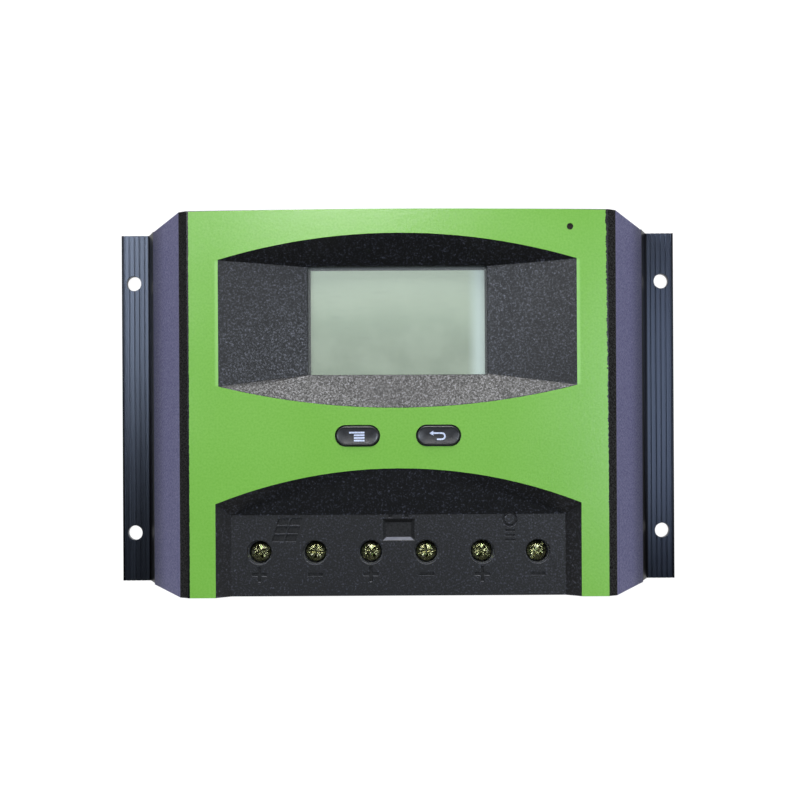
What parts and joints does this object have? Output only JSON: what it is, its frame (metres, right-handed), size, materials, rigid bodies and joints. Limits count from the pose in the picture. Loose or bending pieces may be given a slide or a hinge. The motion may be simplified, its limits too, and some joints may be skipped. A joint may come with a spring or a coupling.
{
  "type": "charge controller",
  "caption": "Wall-mounted solar charge controller with a display, two push buttons, terminal screws over rising wire cages, a moulded cover and a finned aluminium wall plate.",
  "frame": {"origin": "centre of the back plane, where the wall plate's flanges meet the wall", "axes": "+X to the right of the display, +Y to the top of the device, +Z out of the wall towards the viewer"},
  "size_m": [0.1904, 0.12, 0.0506],
  "materials": {
    "anodised_aluminium": "dark slate anodised extrusion",
    "black_abs": "fine textured black",
    "green_paint": "satin green coat",
    "zinc_steel": "bright zinc",
    "terminal_zinc": "yellow zinc",
    "clear_window": "clear",
    "display_glass": "pale grey green",
    "white_diffuser": "white",
    "black_moulding": "smooth black",
    "tinned_metal": "tinned",
    "circuit_board": "green solder mask",
    "chip_epoxy": "moulded epoxy",
    "button_plastic": "glossy dark grey",
    "switch_shell": "matte",
    "pipe_plastic": "clear",
    "led_body": "gloss",
    "brass_spacer": "machined",
    "terminal_plastic": "matte dark grey",
    "current_bar": "stamped",
    "cage_steel": "plated steel",
    "silicone_pad": "soft grey",
    "capacitor_sleeve": "shrunk sleeve",
    "shunt_wire": "bare alloy",
    "ferrite": "ferrite"
  },
  "bodies": {
    "housing": {"heatsink_base": "anodised_aluminium", "front_cover": "black_abs", "face_paint": "green_paint", "cover_screws": "zinc_steel", "lcd_window": "clear_window", "lcd_glass": "display_glass", "lcd_backlight": "white_diffuser", "lcd_holder": "black_moulding", "lcd_pins": "tinned_metal", "display_board": "circuit_board", "display_board_screws": "zinc_steel", "control_chip": "chip_epoxy", "menu_switch": "switch_shell", "return_switch": "switch_shell", "light_pipe": "pipe_plastic", "status_led": "led_body", "main_board": "circuit_board", "main_board_screws": "zinc_steel", "board_spacers": "brass_spacer", "board_header": "black_moulding", "board_socket": "black_moulding", "terminal_block": "terminal_plastic", "terminal_busbars": "current_bar", "mosfets": "chip_epoxy", "mosfet_insulators": "silicone_pad", "mosfet_screws": "zinc_steel", "temperature_sensor": "chip_epoxy", "bulk_capacitors": "capacitor_sleeve", "current_shunt": "shunt_wire", "driver_chips": "chip_epoxy", "surge_diodes": "chip_epoxy", "supply_inductor": "ferrite"},
    "menu_button": {"menu_button": "button_plastic", "menu_plunger": "black_moulding"},
    "return_button": {"return_button": "button_plastic", "return_plunger": "black_moulding"},
    "terminal_screw_1": {"terminal_screw_1": "terminal_zinc"},
    "terminal_cage_1": {"terminal_cage_1": "cage_steel"},
    "terminal_screw_2": {"terminal_screw_2": "terminal_zinc"},
    "terminal_cage_2": {"terminal_cage_2": "cage_steel"},
    "terminal_screw_3": {"terminal_screw_3": "terminal_zinc"},
    "terminal_cage_3": {"terminal_cage_3": "cage_steel"},
    "terminal_screw_4": {"terminal_screw_4": "terminal_zinc"},
    "terminal_cage_4": {"terminal_cage_4": "cage_steel"},
    "terminal_screw_5": {"terminal_screw_5": "terminal_zinc"},
    "terminal_cage_5": {"terminal_cage_5": "cage_steel"},
    "terminal_screw_6": {"terminal_screw_6": "terminal_zinc"},
    "terminal_cage_6": {"terminal_cage_6": "cage_steel"}
  },
  "joints": [
    {"name": "menu_press", "type": "slide", "parent": "housing", "child": "menu_button", "axis": [0, 0, -1], "range_m": [0, 0.0006], "stiffness_N_per_m": 1200, "springref_m": -0.0004},
    {"name": "return_press", "type": "slide", "parent": "housing", "child": "return_button", "axis": [0, 0, -1], "range_m": [0, 0.0006], "stiffness_N_per_m": 1200, "springref_m": -0.0004},
    {"name": "terminal_1_turn", "type": "hinge", "parent": "housing", "child": "terminal_screw_1", "pos_m": [-0.04342, -0.0464, 0.0402], "axis": [0, 0, -1], "range_deg": [0, 2520]},
    {"name": "terminal_1_rise", "type": "slide", "parent": "housing", "child": "terminal_cage_1", "axis": [0, 0, 1], "range_m": [0, 0.0056]},
    {"name": "terminal_2_turn", "type": "hinge", "parent": "housing", "child": "terminal_screw_2", "pos_m": [-0.02605, -0.0464, 0.0402], "axis": [0, 0, -1], "range_deg": [0, 2520]},
    {"name": "terminal_2_rise", "type": "slide", "parent": "housing", "child": "terminal_cage_2", "axis": [0, 0, 1], "range_m": [0, 0.0056]},
    {"name": "terminal_3_turn", "type": "hinge", "parent": "housing", "child": "terminal_screw_3", "pos_m": [-0.00869, -0.0464, 0.0402], "axis": [0, 0, -1], "range_deg": [0, 2520]},
    {"name": "terminal_3_rise", "type": "slide", "parent": "housing", "child": "terminal_cage_3", "axis": [0, 0, 1], "range_m": [0, 0.0056]},
    {"name": "terminal_4_turn", "type": "hinge", "parent": "housing", "child": "terminal_screw_4", "pos_m": [0.00869, -0.0464, 0.0402], "axis": [0, 0, -1], "range_deg": [0, 2520]},
    {"name": "terminal_4_rise", "type": "slide", "parent": "housing", "child": "terminal_cage_4", "axis": [0, 0, 1], "range_m": [0, 0.0056]},
    {"name": "terminal_5_turn", "type": "hinge", "parent": "housing", "child": "terminal_screw_5", "pos_m": [0.02605, -0.0464, 0.0402], "axis": [0, 0, -1], "range_deg": [0, 2520]},
    {"name": "terminal_5_rise", "type": "slide", "parent": "housing", "child": "terminal_cage_5", "axis": [0, 0, 1], "range_m": [0, 0.0056]},
    {"name": "terminal_6_turn", "type": "hinge", "parent": "housing", "child": "terminal_screw_6", "pos_m": [0.04342, -0.0464, 0.0402], "axis": [0, 0, -1], "range_deg": [0, 2520]},
    {"name": "terminal_6_rise", "type": "slide", "parent": "housing", "child": "terminal_cage_6", "axis": [0, 0, 1], "range_m": [0, 0.0056]}
  ],
  "couplings": [
    {"joint": "terminal_1_turn", "follows": "terminal_1_rise", "rad_per_m": 7854},
    {"joint": "terminal_2_turn", "follows": "terminal_2_rise", "rad_per_m": 7854},
    {"joint": "terminal_3_turn", "follows": "terminal_3_rise", "rad_per_m": 7854},
    {"joint": "terminal_4_turn", "follows": "terminal_4_rise", "rad_per_m": 7854},
    {"joint": "terminal_5_turn", "follows": "terminal_5_rise", "rad_per_m": 7854},
    {"joint": "terminal_6_turn", "follows": "terminal_6_rise", "rad_per_m": 7854}
  ]
}
